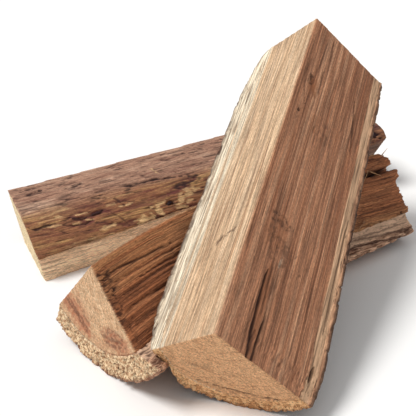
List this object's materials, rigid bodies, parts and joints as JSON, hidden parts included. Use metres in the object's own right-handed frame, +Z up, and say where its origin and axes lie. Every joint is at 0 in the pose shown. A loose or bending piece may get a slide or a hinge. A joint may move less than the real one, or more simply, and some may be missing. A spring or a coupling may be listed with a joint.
{
  "type": "firewood bundle",
  "caption": "Stack of split hardwood logs with bark, one leaning on another, for a hearth, stove or woodpile.",
  "frame": {"origin": "on the floor under the middle of the stack's bounding box", "axes": "+Z up; -Y is the side with the front log's sawn end, which faces the viewer; +X to the viewer's right"},
  "size_m": [0.4298, 0.5046, 0.2321],
  "materials": {
    "front_log_wood": "dry split and sawn wood, cream sapwood on one side and tan heartwood",
    "front_log_bark": "rough dry corky bark, golden tan with dark pits",
    "near_log_wood": "dry split brown heartwood with a pale sawn end, torn at the far end",
    "near_log_bark": "thick granular corky bark, pale tan with dark pits and a reddish brown outer skin",
    "back_log_wood": "dry split wood, pale pinkish tan",
    "back_log_inner_bark": "weathered brown inner bark with dark insect galleries and yellow flaked patches"
  },
  "bodies": {
    "root": {"front_log_wood": "front_log_wood", "front_log_bark": "front_log_bark", "near_log_wood": "near_log_wood", "near_log_bark": "near_log_bark", "back_log_wood": "back_log_wood", "back_log_inner_bark": "back_log_inner_bark"}
  },
  "joints": []
}
